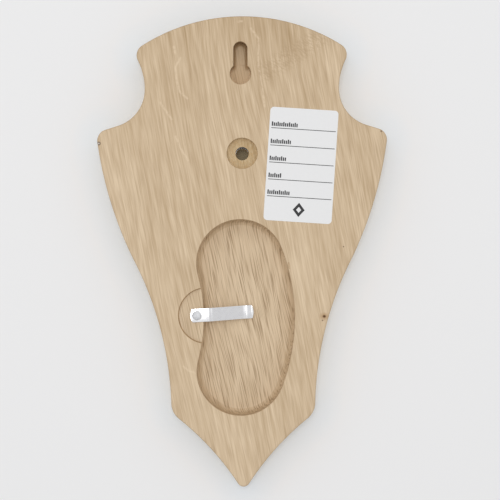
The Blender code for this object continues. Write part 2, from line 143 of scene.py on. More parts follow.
def shield_curves(inset):
    """Circles (centre, radius) and the flare (point, direction) of the right half.

    A convex circle has radius R - inset, and a hollow one R + inset.
    """
    neck_z = CROWN - NECK_DROP
    low = np.array([NECK_HALF + NECK_LOW_RADIUS, neck_z])
    down = np.array([-math.sin(FLARE_SLOPE), -math.cos(FLARE_SLOPE)])
    along = np.array([math.cos(FLARE_SLOPE), -math.sin(FLARE_SLOPE)])
    touch = low + down * NECK_LOW_RADIUS
    shoulder = touch + along * (SHOULDER_HALF - touch[0]) / along[0]
    base = np.array([BASE_HALF, CROWN - HEIGHT + POINT_HEIGHT])
    hollow = base + [FLANK_HOLLOW_RADIUS, 0.0]
    both = FLANK_HOLLOW_RADIUS + FLANK_CONVEX_RADIUS
    convex = circles_meet(hollow, both, shoulder, FLANK_CONVEX_RADIUS, 1)
    half = (np.array([0.0, CROWN - HEIGHT]) - base) / 2.0
    square = np.array([-half[1], half[0]]) / np.hypot(*half)
    point = base + half + square * math.sqrt(POINT_HOLLOW_RADIUS**2 - half @ half)
    return {
        "crown": (np.array([0.0, CROWN - CROWN_RADIUS]), CROWN_RADIUS - inset),
        "neck_top": (np.array([NECK_HALF + NECK_TOP_RADIUS, neck_z]), NECK_TOP_RADIUS + inset),
        "neck_low": (low, NECK_LOW_RADIUS + inset),
        "flare": (low + down * (NECK_LOW_RADIUS + inset), along),
        "convex": (convex, FLANK_CONVEX_RADIUS - inset),
        "hollow": (hollow, FLANK_HOLLOW_RADIUS + inset),
        "point": (point, POINT_HOLLOW_RADIUS + inset),
    }


def shield_corners(inset):
    """The four sharp corners of the right half: where its neighbouring curves cross."""
    curve = shield_curves(inset)
    start, along = curve["flare"]
    centre, radius = curve["convex"]
    back = start - centre
    reach = math.sqrt((back @ along) ** 2 - back @ back + radius**2) - back @ along
    point, point_radius = curve["point"]
    return {
        "crown": circles_meet(*curve["crown"], *curve["neck_top"], 1),
        "shoulder": start + along * reach,
        "base": circles_meet(*curve["hollow"], *curve["point"], -1),
        "tip": np.array([0.0, point[1] + math.sqrt(point_radius**2 - point[0] ** 2)]),
    }


FINENESS = 5


def shield_outline(inset):
    """The closed shield in (x, z), clockwise from the crown: the right half, then its mirror image."""
    curve = shield_curves(inset)
    radius = {name: max(full - inset, MITRE_RADIUS) for name, full in CORNER_RADII.items()}
    centre = {name: shield_corners(inset + r)[name] for name, r in radius.items()}

    def on(name, corner):
        return nearest(*curve[name], centre[corner])

    top = curve["crown"][0] + [0.0, curve["crown"][1]]
    neck = curve["neck_top"][0] - [curve["neck_top"][1], 0.0]
    start, along = curve["flare"]
    flare_end = start + along * ((centre["shoulder"] - start) @ along)
    bend = nearest(*curve["convex"], curve["hollow"][0])
    bottom = centre["tip"] - [0.0, radius["tip"]]
    n = FINENESS
    half = np.vstack(
        [
            arc(curve["crown"][0], top, on("crown", "crown"), 14 * n),
            arc(centre["crown"], on("crown", "crown"), on("neck_top", "crown"), 5 * n),
            arc(curve["neck_top"][0], on("neck_top", "crown"), neck, 5 * n),
            arc(curve["neck_low"][0], neck, start, 7 * n),
            start + (flare_end - start) * np.linspace(0.0, 1.0, n, endpoint=False)[:, None],
            arc(centre["shoulder"], flare_end, on("convex", "shoulder"), 5 * n),
            arc(curve["convex"][0], on("convex", "shoulder"), bend, 12 * n),
            arc(curve["hollow"][0], bend, on("hollow", "base"), 14 * n),
            arc(centre["base"], on("hollow", "base"), on("point", "base"), 4 * n),
            arc(curve["point"][0], on("point", "base"), on("point", "tip"), 9 * n),
            arc(centre["tip"], on("point", "tip"), bottom, 3 * n),
            bottom[None],
        ]
    )
    return np.vstack([half, half[-2:0:-1] * [-1.0, 1.0]])


outer = shield_outline(0.0)
print(len(outer), "points; size", np.ptp(outer, axis=0).round(2), "mm")

# %% [markdown]
# ## From loops to a solid
# A moulded edge, a routed recess and a drilled hole are all the same thing: a loop that changes as
# it goes deeper. Stacking the loops gives a grid of points, and two ends close it. One helper makes
# all of them, and turns the faces outwards at the end.

# %% The loft helper


def add_object(name, data):
    """A new object in the scene."""
    made = bpy.data.objects.new(name, data)
    bpy.context.scene.collection.objects.link(made)
    return made


def closed_mesh(name, points, faces):
    """A new object from points in metres and faces, which are turned outwards."""
    mesh = bpy.data.meshes.new(name)
    mesh.from_pydata(points.tolist(), [], faces)
    shell = bmesh.new()
    shell.from_mesh(mesh)
    bmesh.ops.recalc_face_normals(shell, faces=shell.faces)
    shell.to_mesh(mesh)
    shell.free()
    return add_object(name, mesh)


def solid_from_loops(name, loops):
    """Stacks loops of equal length (in mm) into a closed mesh.

    Quads run from (i, j) to (i + 1, j + 1), and a face closes each end.
    """
    rows, count = loops.shape[:2]
    i, j = np.meshgrid(np.arange(rows - 1), np.arange(count), indexing="ij")
    a = i * count + j
    b = i * count + (j + 1) % count
    quads = np.stack([a, b, b + count, a + count], axis=-1).reshape(-1, 4)
    ends = [list(range(count))[::-1], list(range((rows - 1) * count, rows * count))]
    return closed_mesh(name, loops.reshape(-1, 3) / 1000.0, quads.tolist() + ends)


def loft(name, outline, sections):
    """A solid through outline(inset) at each (inset, y) in mm: (x, z) becomes (x, y, z)."""
    loops = [np.insert(outline(inset), 1, y, axis=1) for inset, y in sections]
    return solid_from_loops(name, np.array(loops))


def quarter(centre_inset, centre_y, radius, start, end, steps):
    """A bit's round as (inset, y): centre + r * (cos t, sin t) from angle start to end, in degrees."""
    t = np.radians(np.linspace(start, end, steps))
    return np.column_stack([centre_inset + radius * np.cos(t), centre_y + radius * np.sin(t)])


# %% [markdown]
# ## The board's edge
# The back edge is only eased with sandpaper. The side stays plain for half the thickness, then an
# ogee runs up to the front: a round, a hollow, and a small step to the face. The front isn't in the
# photograph, so it has the moulding that such shields usually have. The narrow flat rings beside
# each flat face keep its shading flat when the edge is shaded smooth.

# %% Moulding sections
BACK_Y = -0.12
BACK_EDGE_ROUND = 1.0
OGEE_ROUND = 4.0
OGEE_HOLLOW = 3.8
OGEE_STEP = 1.0
FRONT_ARRIS = 0.4
FLAT_RING = 0.5

side_end = -(THICKNESS - OGEE_ROUND - OGEE_HOLLOW - OGEE_STEP)
rim = OGEE_ROUND + OGEE_HOLLOW
hollow_y = side_end - OGEE_ROUND - OGEE_HOLLOW
moulding = np.vstack(
    [
        [BACK_EDGE_ROUND + FLAT_RING, BACK_Y],
        quarter(BACK_EDGE_ROUND, BACK_Y - BACK_EDGE_ROUND, BACK_EDGE_ROUND, 90, 180, 6),
        quarter(OGEE_ROUND, side_end, OGEE_ROUND, 180, 270, 12),
        quarter(OGEE_ROUND, hollow_y, OGEE_HOLLOW, 90, 0, 12)[1:],
        quarter(rim + FRONT_ARRIS, -THICKNESS + FRONT_ARRIS, FRONT_ARRIS, 180, 270, 4),
        [rim + FRONT_ARRIS + FLAT_RING, -THICKNESS],
    ]
)
oak_board = loft("oak_board", shield_outline, moulding)
print("board blank:", len(oak_board.data.polygons), "faces")

# %% [markdown]
# ## The jaw's recess
# The recess is a bean of four arcs that touch smoothly: two round ends, a long bulge on one side
# and a shallow waist on the other. It was cut with a bowl bit, so its wall runs into the floor in a
# round. The cutter below has that round at its foot, and flares a little at the top to leave the
# small chamfer of a sanded rim.

# %% Bean outline and cutter
RECESS_MIDDLE = np.array([1.2, CROWN - 155.9])
RECESS_SPREAD = 27.95
RECESS_END_RADIUS = 22.8
RECESS_BULGE = 5.25
RECESS_WAIST = 3.6
RECESS_DEPTH = 9.5
BOWL_BIT_RADIUS = 3.5
RIM_CHAMFER = 0.18
CUT_OVER = 2.0


def bean_outline(inset):
    """Four arcs in (x, z): two ends of radius R - inset, and the bulge and waist circles.

    Two arcs join where the line through their centres meets them.
    """
    reach = np.array([0.0, RECESS_SPREAD])
    upper = RECESS_MIDDLE + reach
    lower = RECESS_MIDDLE - reach
    bulge_r = RECESS_END_RADIUS + (RECESS_SPREAD**2 + RECESS_BULGE**2) / (2 * RECESS_BULGE)
    waist_r = (RECESS_SPREAD**2 + RECESS_WAIST**2) / (2 * RECESS_WAIST) - RECESS_END_RADIUS
    bulge = RECESS_MIDDLE + [bulge_r - RECESS_END_RADIUS - RECESS_BULGE, 0.0]
    waist = RECESS_MIDDLE + [RECESS_END_RADIUS - RECESS_WAIST + waist_r, 0.0]
    end = RECESS_END_RADIUS - inset
    top = upper + [0.0, end]
    foot = lower - [0.0, end]
    upper_in = nearest(upper, end, waist)
    lower_in = nearest(lower, end, waist)
    upper_out = nearest(upper, end, 2 * upper - bulge)
    lower_out = nearest(lower, end, 2 * lower - bulge)
    return np.vstack(
        [
            arc(upper, top, upper_in, 36),
            arc(waist, upper_in, lower_in, 48),
            arc(lower, lower_in, foot, 36),
            arc(lower, foot, lower_out, 36),
            arc(bulge, lower_out, upper_out, 64),
            arc(upper, upper_out, top, 36),
        ]
    )


def chamfered_top(chamfer):
    """The top of a cutter as (inset, y): straight, then a 45 degree flare that crosses the back face."""
    return [[-chamfer - 0.3, CUT_OVER], [-chamfer - 0.3, BACK_Y + 0.3], [0.0, BACK_Y - chamfer]]


recess_sections = np.vstack(
    [
        chamfered_top(RIM_CHAMFER),
        quarter(BOWL_BIT_RADIUS, BOWL_BIT_RADIUS - RECESS_DEPTH, BOWL_BIT_RADIUS, 180, 270, 10),
        [BOWL_BIT_RADIUS + FLAT_RING, -RECESS_DEPTH],
    ]
)
cutters = [loft("jaw_recess", bean_outline, recess_sections)]
print("recess", np.ptp(bean_outline(0.0), axis=0).round(1), "mm")

# %% [markdown]
# ## Holes and the clip's pocket
# The other cuts are circles and one slot. The keyhole is two cuts: a narrow neck for the screw's
# shank and, under a lip of wood, a wider run for its head. The pocket that sinks the clip is only
# 1.6 mm deep, so its rim shows as one thin line.

# %% Round and slotted cutters
KEYHOLE_ENTRY = np.array([0.7, CROWN - 29.8])
KEYHOLE_TRAVEL = 13.0
KEYHOLE_ENTRY_RADIUS = 5.5
KEYHOLE_NECK_RADIUS = 3.65
KEYHOLE_HEAD_RADIUS = 5.2
KEYHOLE_LIP = 3.6
KEYHOLE_FLOOR = -8.5
SKULL_HOLE = np.array([0.0, CROWN - 71.0])
SKULL_HOLE_RADIUS = 3.5
WASHER_SEAT_RADIUS = 8.0
WASHER_SEAT_DEPTH = 3.0
PIN_HOLE = PIVOT[[0, 2]] * 1000.0
POCKET = PIN_HOLE - [4.7, 0.0]
POCKET_RADIUS = 14.4
POCKET_DEPTH = 1.6
PIN_HOLE_RADIUS = 1.2
PIN_HOLE_DEPTH = 13.7


def circle_outline(centre, radius, steps):
    """A function of inset that gives centre + (radius - inset) * (sin t, cos t)."""
    t = 2 * math.pi * np.arange(steps) / steps
    spokes = np.column_stack([np.sin(t), np.cos(t)])
    return lambda inset: centre + spokes * (radius - inset)


def slot_outline(foot, travel, radius):
    """A function of inset that gives an upright slot with round ends: two half circles, travel apart."""
    t = np.radians(np.linspace(0, 180, 25))
    cap = np.column_stack([np.cos(t), np.sin(t)])
    head = foot + [0.0, travel]
    return lambda inset: np.vstack([head + cap * (radius - inset), foot - cap * (radius - inset)])


entry = circle_outline(KEYHOLE_ENTRY, KEYHOLE_ENTRY_RADIUS, 72)
neck_slot = slot_outline(KEYHOLE_ENTRY, KEYHOLE_TRAVEL, KEYHOLE_NECK_RADIUS)
head_run = slot_outline(KEYHOLE_ENTRY, KEYHOLE_TRAVEL, KEYHOLE_HEAD_RADIUS)
pocket = circle_outline(POCKET, POCKET_RADIUS, 160)
pin_hole = circle_outline(PIN_HOLE, PIN_HOLE_RADIUS, 24)
washer_seat = circle_outline(SKULL_HOLE, WASHER_SEAT_RADIUS, 96)
skull_hole = circle_outline(SKULL_HOLE, SKULL_HOLE_RADIUS, 64)
through = -THICKNESS - CUT_OVER
cutters += [
    loft("clip_pocket", pocket, [*chamfered_top(0.1), [0, -POCKET_DEPTH]]),
    loft("pin_hole", pin_hole, [[0, -1.0], [0, -PIN_HOLE_DEPTH]]),
    loft("keyhole_neck", neck_slot, [*chamfered_top(0.15), [0, (KEYHOLE_FLOOR - KEYHOLE_LIP) / 2]]),
    loft("keyhole_run", head_run, [[0, -KEYHOLE_LIP], [0, KEYHOLE_FLOOR]]),
    loft("keyhole_entry", entry, [*chamfered_top(0.15), [0, KEYHOLE_FLOOR - 0.3]]),
    loft("washer_seat", washer_seat, [*chamfered_top(0.15), [0, -WASHER_SEAT_DEPTH]]),
    loft("skull_hole", skull_hole, [[0, CUT_OVER], [0, through]]),
]
print(len(cutters), "cutters")

# %% [markdown]
# ## Chips at the rims
# Where the bit came out across the grain, it broke small chips from the rim. Each is a shallow
# dish, longer along the grain than across it, and is cut like the rest.

# %% Chips, as place across and down, half length, half width and depth
CHIPS = [(-23.9, 129.2, 1.9, 0.5, 0.5), (20.9, 139.6, 1.7, 0.7, 0.7), (4.3, 24.0, 0.9, 0.55, 0.5)]
CHIP_TURN = math.radians(10.5)


def chip_outline(across, down, half_length, half_width):
    """A leaning ellipse about its place, as a function of inset: both half sizes shrink in proportion."""
    t = 2 * math.pi * np.arange(24) / 24
    c, s = math.cos(CHIP_TURN), math.sin(CHIP_TURN)
    plan = np.column_stack([half_width * np.cos(t), half_length * np.sin(t)]) @ np.array([[c, -s], [s, c]])
    return lambda inset: np.array([across, CROWN - down]) + plan * (1 - inset)


for across, down, half_length, half_width, depth in CHIPS:
    dish = chip_outline(across, down, half_length, half_width)
    sections = [[-0.2, CUT_OVER], [0, BACK_Y], [0.3, BACK_Y - 0.7 * depth], [0.6, BACK_Y - depth]]
    cutters.append(loft("chip", dish, sections))
print(len(CHIPS), "chips")

# %% Cut the board


def cut_with(target, tools):
    """Applies one exact Boolean for each tool, keeps the result as the mesh, and removes the tools."""
    for tool in tools:
        boolean = target.modifiers.new("cut", "BOOLEAN")
        boolean.solver = "EXACT"
        boolean.object = tool
    whole = target.evaluated_get(bpy.context.evaluated_depsgraph_get())
    cut_mesh = bpy.data.meshes.new_from_object(whole)
    target.modifiers.clear()
    target.data = cut_mesh
    cut_mesh.materials.clear()
    for tool in tools:
        bpy.data.objects.remove(tool)


def shade(thing, degrees=30.0):
    """Smooth shading, but for edges that turn by more than the given angle."""
    thing.data.shade_smooth()
    thing.data.set_sharp_from_angle(angle=math.radians(degrees))


cut_with(oak_board, cutters)
shade(oak_board)
print("board:", len(oak_board.data.polygons), "faces")

# %% [markdown]
# ## The clip
# The clip is a strip of bright aluminium sheet. It lies flat under the pin, bends down into the
# recess and turns up at its end. Its middle line follows from its slope alone: adding up
# (cos slope, -sin slope) along its length draws the whole bend. A rounded rectangle is then carried
# along that line, and narrows in an arc at both ends.

# %% Clip sizes and middle line
CLIP_TAIL = 3.4
CLIP_FLAT = 4.8
CLIP_TOP_BEND = 9.4
CLIP_SLOPE = math.radians(23.3)
CLIP_LOW_BEND = 5.4
CLIP_TIP_SLOPE = math.radians(14.0)
CLIP_TIP = 3.0
CLIP_WIDTH = 7.0
CLIP_THICKNESS = 0.5
CLIP_END_BOW = 7.4
CLIP_TILT = math.radians(3.15)
CLIP_UNDERSIDE = -POCKET_DEPTH + 0.15
CLIP_LOWEST = -RECESS_DEPTH + 0.6
CLIP_EDGE_ROUND = 0.14
CREASE_WIDTH = 0.4
CLIP_STEPS = 190
CLIP_HOLE_RADIUS = 1.16


def clip_slope(s):
    """Slope at length s from the pivot: 0, up to the full slope, down past 0 to the tip's rise.

    Four bumps of turn * exp(-(gap / width)**2) add the faint creases of a hand-bent strip.
    """
    fall = (CLIP_UNDERSIDE - CLIP_LOWEST) - (CLIP_TOP_BEND + CLIP_LOW_BEND) * (1 - math.cos(CLIP_SLOPE))
    bend_end = CLIP_FLAT + CLIP_TOP_BEND * CLIP_SLOPE
    ramp_end = bend_end + fall / math.sin(CLIP_SLOPE)
    low_end = ramp_end + CLIP_LOW_BEND * (CLIP_SLOPE + CLIP_TIP_SLOPE)
    knots = [CLIP_FLAT, bend_end, ramp_end, low_end]
    slope = np.interp(s, knots, [0.0, CLIP_SLOPE, CLIP_SLOPE, -CLIP_TIP_SLOPE])
    low_middle = ramp_end + CLIP_LOW_BEND * CLIP_SLOPE
    creases = [(CLIP_FLAT + 0.55, -9.0), (CLIP_FLAT + 1.9, 5.0), (CLIP_FLAT + 2.9, -8.0), (low_middle, 11.0)]
    for place, turn in creases:
        slope = slope + math.radians(turn) * np.exp(-(((s - place) / CREASE_WIDTH) ** 2))
    return slope, low_end + CLIP_TIP


def clip_middle_line(steps):
    """Lengths s, and (distance, height) = running sum of (cos slope, -sin slope) times the step."""
    total = clip_slope(np.zeros(1))[1]
    ease = 0.5 - 0.5 * np.cos(np.pi * np.linspace(0.0, 1.0, steps))
    s = -CLIP_TAIL + (total + CLIP_TAIL) * (0.7 * ease + 0.3 * np.linspace(0.0, 1.0, steps))
    fine = np.linspace(-CLIP_TAIL, total, 4000)
    slope = clip_slope(fine)[0]
    step = fine[1] - fine[0]
    distance = -CLIP_TAIL + np.concatenate([[0.0], np.cumsum(np.cos(slope[1:]))]) * step
    fallen = np.concatenate([[0.0], np.cumsum(np.sin(slope[1:]))]) * step
    height = CLIP_UNDERSIDE + CLIP_THICKNESS / 2 - fallen
    return s, np.interp(s, fine, distance), np.interp(s, fine, height), clip_slope(s)[0]


# %% Sweep the strip


def clip_loops():
    """Loops (across, along and up the strip) at each step.

    The half width is the sheet's or, near an end, sqrt(d * (2 * bow - d)) at d from the end.
    """
    s, distance, height, slope = clip_middle_line(CLIP_STEPS)
    from_end = 0.02 + np.minimum(s - s[0], s[-1] - s)
    from_end = np.minimum(from_end, CLIP_END_BOW)
    half = np.minimum(CLIP_WIDTH / 2, np.sqrt(from_end * (2 * CLIP_END_BOW - from_end)))
    t = np.radians(np.array([0, 30, 60, 90]))
    corner = np.column_stack([np.cos(t), np.sin(t)]) * CLIP_EDGE_ROUND
    right = corner - CLIP_EDGE_ROUND
    up = CLIP_THICKNESS / 2
    across = np.concatenate([right[:, 0], -right[::-1, 0], -right[:, 0], right[::-1, 0]])
    side = np.repeat([1.0, -1.0, -1.0, 1.0], 4)
    lift = np.concatenate([up + right[:, 1], up + right[::-1, 1], -up - right[:, 1], -up - right[::-1, 1]])
    wide = side * half[:, None] + across
    along = -(distance[:, None] + lift * np.sin(slope)[:, None])
    y = height[:, None] + lift * np.cos(slope)[:, None]
    return np.stack([along, y, wide], axis=-1)


def turned_about_pivot(points):
    """Turns points about the pivot's Y axis by the clip's tilt, and moves them to the pivot."""
    c, s = math.cos(CLIP_TILT), math.sin(CLIP_TILT)
    x = points[..., 0] * c + points[..., 2] * s
    z = points[..., 2] * c - points[..., 0] * s
    return np.stack([x + PIN_HOLE[0], points[..., 1], z + PIN_HOLE[1]], axis=-1)


clip_strip = solid_from_loops("clip_strip", turned_about_pivot(clip_loops()))
clip_hole = circle_outline(PIN_HOLE, CLIP_HOLE_RADIUS, 32)
cut_with(clip_strip, [loft("clip_hole", clip_hole, [[0, 0.5], [0, -3.5]])])
shade(clip_strip)
print("clip:", len(clip_strip.data.polygons), "faces")

# %% [markdown]
# ## The pin
# The clip turns on a small domed pin, driven into the board. It is a turned shape, so its side view
# is spun about its own axis: each point at radius r and height y becomes (r cos t, y, r sin t).

# %% Pin
PIN_HEAD_RADIUS = 2.5
PIN_HEAD_HEIGHT = 0.8
PIN_HEAD_EDGE = 0.25
PIN_SHANK_RADIUS = 1.1
PIN_TAPER_Y = -11.1
PIN_END_Y = -13.6


def pin_profile():
    """(radius, y) from the dome's top to the point: an ellipse arc, a small rounded edge, then the shank."""
    seat = CLIP_UNDERSIDE + CLIP_THICKNESS + 0.1
    t = np.radians(np.linspace(1.5, 72, 14))
    dome = np.column_stack([np.sin(t), np.cos(t)]) * [PIN_HEAD_RADIUS, PIN_HEAD_HEIGHT - PIN_HEAD_EDGE]
    dome[:, 1] += seat + PIN_HEAD_EDGE
    r = PIN_HEAD_RADIUS
    edge = [[r - 0.04, seat + 0.29], [r, seat + 0.17], [r - 0.06, seat]]
    tail = [[PIN_SHANK_RADIUS, seat], [PIN_SHANK_RADIUS, PIN_TAPER_Y], [0.15, PIN_END_Y]]
    return np.vstack([dome, edge, tail])


def turned(name, profile, steps):
    """A surface of revolution about Y through the pivot."""
    t = 2 * np.pi * np.arange(steps) / steps
    x = PIN_HOLE[0] + profile[:, :1] * np.cos(t)
    z = PIN_HOLE[1] + profile[:, :1] * np.sin(t)
    y = np.broadcast_to(profile[:, 1:], x.shape)
    return solid_from_loops(name, np.stack([x, y, z], axis=-1))


domed_pin = turned("domed_pin", pin_profile(), 64)
shade(domed_pin)
print("pin:", len(domed_pin.data.polygons), "faces")

# %% [markdown]
# ## The label
# The label is a paper sticker with round corners and five ruled lines to write on. A short row of
# plain strokes starts each line, and a lozenge fills the foot. None of them is a letter. Ink has no
# height, so the strokes are faces in the paper's own top, found by a triangulation that keeps their
# edges.

# %% Label sizes and print
LABEL_WIDTH = 35.3
LABEL_HEIGHT = 58.7
LABEL_CORNER = 2.0
LABEL_MIDDLE = np.array([-30.4, CROWN - 77.4])
LABEL_TILT = math.radians(3.96)
LABEL_TOP_Y = -0.01
LABEL_PAPER = 0.1
RULED_DROPS = [10.65, 19.6, 28.4, 37.2, 45.9]
WORD_LENGTHS = [13.9, 10.5, 9.3, 6.9, 11.9]
RULE_THICKNESS = 0.36
STROKE_PITCH = 0.98
STROKE_WIDTH = 0.68
STROKE_HEIGHTS = (2.3, 1.8)
RULE_MARGIN = 1.1
RULE_SHORTER = 1.9
FOOT_ABOVE_RULE = 0.8
LOZENGE_DROP = 52.4
LOZENGE_SHIFT = 0.3
LOZENGE_SIZE = np.array([3.1, 3.7])
LOZENGE_HOLLOW = 0.42


def rounded_rectangle(width, height, radius, steps):
    """Corner centres plus radius * (cos t, sin t), with t one full turn, (right, down) from the middle."""
    t = 2 * np.pi * (np.arange(4 * steps) + 0.5) / (4 * steps)
    way = np.column_stack([np.cos(t), np.sin(t)])
    return np.sign(way) * [width / 2 - radius, height / 2 - radius] + way * radius


def bar(left, top, width, height):
    """A stroke as four corners."""
    right = left + width
    low = top + height
    return np.array([[left, top], [right, top], [right, low], [left, low]])


def word_strokes(left, foot, length):
    """A row of upright strokes, tall and short in turn, which are no letters."""
    i = np.arange(round(length / STROKE_PITCH))
    tall = np.where(i % 3 == 0, *STROKE_HEIGHTS)
    return [bar(left + STROKE_PITCH * k, foot - tall[k], STROKE_WIDTH, tall[k]) for k in i]


def lozenge(width, height):
    """The four corners of an upright lozenge about the origin, (right, down)."""
    return np.array([[0.0, -height], [width, 0.0], [0.0, height], [-width, 0.0]])


def label_print():
    """All ink shapes, (right, down) from the label's middle."""
    left = -LABEL_WIDTH / 2 + RULE_MARGIN
    top = -LABEL_HEIGHT / 2
    shapes = []
    for drop, length in zip(RULED_DROPS, WORD_LENGTHS):
        shapes.append(bar(left, top + drop, LABEL_WIDTH - RULE_SHORTER, RULE_THICKNESS))
        shapes += word_strokes(left + 0.1, top + drop - FOOT_ABOVE_RULE, length)
    return shapes


# %% Triangulate the label


def planar_pieces(outline, shapes):
    """Constrained triangulation of the outline that keeps the shapes' edges.

    Gives points, faces, and the loops that each face lies in.
    """
    loops = [outline, *shapes]
    points = np.vstack(loops)
    starts = np.cumsum([0] + [len(loop) for loop in loops])
    faces = [list(range(a, b)) for a, b in zip(starts[:-1], starts[1:])]
    made = delaunay_2d_cdt([Vector(p) for p in points], [], faces, 1, 1e-7, True)
    return np.array([tuple(p) for p in made[0]]), made[2], made[5]


def on_board(plan, y):
    """Label plan (right, down) to the row frame. Seen from the back, right is -X. The sticker is tilted."""
    c, s = math.cos(LABEL_TILT), math.sin(LABEL_TILT)
    right = plan[:, 0] * c - plan[:, 1] * s
    down = plan[:, 0] * s + plan[:, 1] * c
    x = LABEL_MIDDLE[0] - right
    z = LABEL_MIDDLE[1] - down
    return np.column_stack([x, np.full(len(plan), y), z]) / 1000.0


def make_label():
    """Top in pieces of paper and ink, one plain bottom, and a wall between their shared outlines."""
    outline = rounded_rectangle(LABEL_WIDTH, LABEL_HEIGHT, LABEL_CORNER, 12)
    middle = np.array([LOZENGE_SHIFT, LOZENGE_DROP - LABEL_HEIGHT / 2])
    inner = lozenge(*LOZENGE_SIZE * LOZENGE_HOLLOW) + middle
    shapes = [*label_print(), lozenge(*LOZENGE_SIZE) + middle, inner]
    points, faces, sources = planar_pieces(outline, shapes)
    hollow = len(shapes)
    count = len(outline)
    ink = [int(any(source > 0 for source in of) and hollow not in of) for of in sources]
    top = on_board(points, LABEL_TOP_Y)
    bottom = on_board(points[:count], LABEL_TOP_Y - LABEL_PAPER)
    first = len(top)
    walls = [[i, (i + 1) % count, first + (i + 1) % count, first + i] for i in range(count)]
    everything = [list(face) for face in faces] + walls + [list(range(first, first + count))]
    made = closed_mesh("paper_label", np.vstack([top, bottom]), everything)
    slots = np.array(ink + [0] * (len(walls) + 1), np.int32)
    made.data.polygons.foreach_set("material_index", slots)
    return made, sum(ink)


paper_label, ink_faces = make_label()
print("label:", len(paper_label.data.polygons), "faces, of which", ink_faces, "are ink")

# %% [markdown]
# ## Working with material nodes
# A procedural finish is arithmetic on the surface's own position. These helpers keep it readable:
# each makes one node, takes sockets or plain numbers, and hands back its output.

# %% Node helpers


class Finish:
    """A new material and short ways to add nodes to it."""

    def __init__(self, name):
        self.material = bpy.data.materials.new(name)
        self.material.use_nodes = True
        self.tree = self.material.node_tree
        self.shader = self.tree.nodes["Principled BSDF"]

    def node(self, kind):
        return self.tree.nodes.new("ShaderNode" + kind)

    def link(self, value, socket):
        """Sets a socket to a number, or joins it to another node's output."""
        if isinstance(value, bpy.types.NodeSocket):
            self.tree.links.new(value, socket)
        else:
            socket.default_value = value

    def maths(self, operation, a, b=0.0, c=0.0, clamp=False):
        """One Math node."""
        node = self.node("Math")
        node.operation = operation
        node.use_clamp = clamp
        for value, socket in zip((a, b, c), node.inputs):
            self.link(value, socket)
        return node.outputs[0]

    def add(self, a, b):
        return self.maths("ADD", a, b)

    def times(self, a, b):
        return self.maths("MULTIPLY", a, b)

    def ramp(self, value, low, high, out_low=0.0, out_high=1.0):
        """Maps low to high smoothly onto out_low to out_high, and holds beyond them."""
        node = self.node("MapRange")
        node.interpolation_type = "SMOOTHSTEP"
        self.link(value, node.inputs["Value"])
        names = ("From Min", "From Max", "To Min", "To Max")
        for name, number in zip(names, (low, high, out_low, out_high)):
            node.inputs[name].default_value = number
        return node.outputs["Result"]

    def coordinate(self, kind):
        """One of the surface's own coordinates, split into x, y, z."""
        split = self.node("SeparateXYZ")
        self.link(self.node("TexCoord").outputs[kind], split.inputs[0])
        return split.outputs

    def place(self):
        """The surface's own position, in millimetres, as x, y, z."""
        return [self.times(v, 1000.0) for v in self.coordinate("Object")]

    def vectors(self, operation, a, b=None):
        """One Vector Math node. LENGTH and DOT_PRODUCT give a number, and SCALE takes one."""
        node = self.node("VectorMath")
        node.operation = operation
        self.link(a, node.inputs[0])
        if b is not None:
            self.link(b, node.inputs["Scale" if operation == "SCALE" else 1])
        return node.outputs["Value" if operation in ("LENGTH", "DOT_PRODUCT") else "Vector"]

    def vector(self, x, y, z):
        node = self.node("CombineXYZ")
        for value, socket in zip((x, y, z), node.inputs):
            self.link(value, socket)
        return node.outputs[0]

    def noise(self, vector, detail=2.0, roughness=0.5):
        """Noise from 0 to 1 with features about one unit across."""
        node = self.node("TexNoise")
        self.link(vector, node.inputs["Vector"])
        node.inputs["Scale"].default_value = 1.0
        node.inputs["Detail"].default_value = detail
        node.inputs["Roughness"].default_value = roughness
        return node.outputs["Fac"]

    def cloud(self, scale, detail=2.0, roughness=0.5):
        """Noise over the surface's own position, with features of 1 / scale mm along x, y and z."""
        place = [self.times(v, k) for v, k in zip(self.place(), scale)]
        return self.noise(self.vector(*place), detail, roughness)

    def mix(self, amount, a, b, blend="MIX"):
        """Mixes two colours."""
        node = self.node("Mix")
        node.data_type = "RGBA"
        node.blend_type = blend
        self.link(amount, node.inputs[0])
        self.link(a, node.inputs[6])
        self.link(b, node.inputs[7])
        return node.outputs[2]

    def bump(self, height, strength, distance):
        """A bump from a height of 0 to 1, its full height given in metres."""
        node = self.node("Bump")
        node.inputs["Strength"].default_value = strength
        node.inputs["Distance"].default_value = distance
        self.link(height, node.inputs["Height"])
        return node.outputs[0]

    def set(self, **values):
        """Sets or links the shader's sockets by name, with _ for a space."""
        for name, value in values.items():
            self.link(value, self.shader.inputs[name.replace("_", " ")])
        return self.material


def srgb(red, green, blue):
    """A colour as seen on screen, 0 to 255, turned into light: ((c + 0.055) / 1.055) to the power 2.4."""
    c = np.array([red, green, blue]) / 255.0
    light = np.where(c <= 0.04045, c / 12.92, ((c + 0.055) / 1.055) ** 2.4)
    return (*light.tolist(), 1.0)


print("mid oak as light:", [round(v, 3) for v in srgb(206, 184, 154)])

# %% [markdown]
# ## Oak: bending the grain
# This oak is pale, dry and planed. Its figure is long soft streaks that lean to one side as they go
# down, most of all in the middle of the board. The trick is to bend the coordinate first: once
# `across` stays the same along each fibre, plain stretched noise draws the streaks, and they run on
# through the recess and round the edge, as they do in one piece of wood.

# %% Grain coordinates


